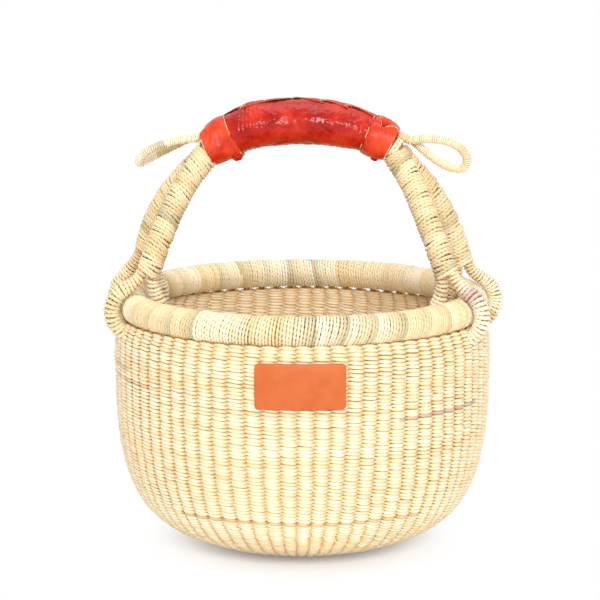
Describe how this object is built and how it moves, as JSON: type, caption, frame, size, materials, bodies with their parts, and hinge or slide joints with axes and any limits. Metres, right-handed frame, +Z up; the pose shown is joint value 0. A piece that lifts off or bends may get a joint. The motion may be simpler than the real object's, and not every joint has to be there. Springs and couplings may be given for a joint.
{
  "type": "bolga basket",
  "caption": "Small round basket of twined straw with a thick wrapped rim, an arched twin-hoop handle with a leather-bound grip, and two small straw loops at the grip's ends.",
  "frame": {"origin": "centre of the flat round base, on the surface the basket stands on", "axes": "+Z up; +Y from the front, where the plain leather label is, to the back; +X to the right seen from the front, along the handle's arch"},
  "size_m": [0.2577, 0.2422, 0.286],
  "materials": {
    "straw": "natural twisted straw, matt with a faint waxy sheen",
    "straw_core": "bundled loose straw, matt",
    "red_leather": "glossy dyed goat leather, wrinkled",
    "tan_leather": "smooth vegetable-tanned leather, satin",
    "padding_cloth": "packed cloth and straw",
    "thread": "pale leather thong, matt"
  },
  "bodies": {
    "bowl": {"woven_bowl": "straw", "rim_core": "straw_core", "rim_wrap": "straw", "leather_label": "tan_leather"},
    "handle": {"hoop_core_front": "straw_core", "hoop_core_back": "straw_core", "leg_wrap_front_left": "straw", "leg_wrap_front_right": "straw", "leg_wrap_back_left": "straw", "leg_wrap_back_right": "straw", "loop_core_front_left": "straw_core", "loop_core_front_right": "straw_core", "loop_core_back_left": "straw_core", "loop_core_back_right": "straw_core", "loop_wrap_front_left": "straw", "loop_wrap_front_right": "straw", "loop_wrap_back_left": "straw", "loop_wrap_back_right": "straw", "grip_padding": "padding_cloth", "leather_grip": "red_leather", "grip_seam": "red_leather", "grip_lace": "red_leather", "leather_cuff_left": "red_leather", "leather_cuff_right": "red_leather", "cuff_thread_left": "thread", "cuff_thread_right": "thread"},
    "left_loop": {"hanging_loop_left": "straw"},
    "right_loop": {"hanging_loop_right": "straw"}
  },
  "joints": [
    {"name": "handle_lean", "type": "hinge", "parent": "bowl", "child": "handle", "pos_m": [-0.00087, -0.01246, 0.157], "axis": [0.9976, -0.0698, 0], "range_deg": [-2, 2]},
    {"name": "left_loop_bend", "type": "hinge", "parent": "handle", "child": "left_loop", "pos_m": [-0.06808, 0.00276, 0.25901], "axis": [0.0698, 0.9976, 0], "range_deg": [-15, 35]},
    {"name": "right_loop_bend", "type": "hinge", "parent": "handle", "child": "right_loop", "pos_m": [0.0678, -0.00675, 0.25901], "axis": [-0.0698, -0.9976, 0], "range_deg": [-15, 35]}
  ]
}
